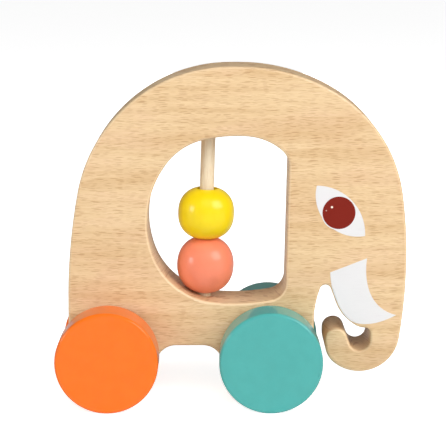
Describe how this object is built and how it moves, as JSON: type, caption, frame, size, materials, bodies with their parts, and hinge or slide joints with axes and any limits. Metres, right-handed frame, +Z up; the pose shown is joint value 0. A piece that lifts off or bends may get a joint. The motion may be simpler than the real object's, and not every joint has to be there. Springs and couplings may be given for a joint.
{
  "type": "pull along toy",
  "caption": "Flat wooden elephant on painted wheels, with a D-shaped opening, beads that slide on a rod across it, and a printed eye and tusk on each face.",
  "frame": {"origin": "on the floor, under the middle of the toy's length and of the board's thickness", "axes": "+X towards the trunk, +Y to the far side along the axles, +Z up"},
  "size_m": [0.1228, 0.048, 0.1194],
  "materials": {
    "beech": "sanded beech with a thin clear oil",
    "dowel": "plain sanded dowel",
    "coral_paint": "gloss painted wood",
    "yellow_paint": "gloss painted wood",
    "orange_paint": "satin painted wood",
    "teal_paint": "satin painted wood",
    "white_ink": "printed ink",
    "red_ink": "printed ink"
  },
  "bodies": {
    "elephant": {"body": "beech", "bead_rod": "dowel", "eye_print": "white_ink", "pupil_print": "red_ink", "tusk_print": "white_ink"},
    "coral_bead": {"coral_bead": "coral_paint"},
    "yellow_bead": {"yellow_bead": "yellow_paint"},
    "rear_wheelset": {"rear_axle": "dowel", "rear_wheel_near": "orange_paint", "rear_wheel_far": "orange_paint"},
    "front_wheelset": {"front_axle": "dowel", "front_wheel_near": "teal_paint", "front_wheel_far": "teal_paint"}
  },
  "joints": [
    {"name": "rear_wheels_roll", "type": "hinge", "parent": "elephant", "child": "rear_wheelset", "pos_m": [-0.0434, 0, 0.018], "axis": [0, 1, 0], "continuous": true},
    {"name": "front_wheels_roll", "type": "hinge", "parent": "elephant", "child": "front_wheelset", "pos_m": [0.0137, 0, 0.018], "axis": [0, 1, 0], "continuous": true},
    {"name": "coral_bead_slide", "type": "slide", "parent": "elephant", "child": "coral_bead", "axis": [0.0323, 0, 0.9995], "range_m": [0, 0.0085]},
    {"name": "yellow_bead_slide", "type": "slide", "parent": "coral_bead", "child": "yellow_bead", "axis": [0.0323, 0, 0.9995], "range_m": [0, 0.0085]}
  ]
}
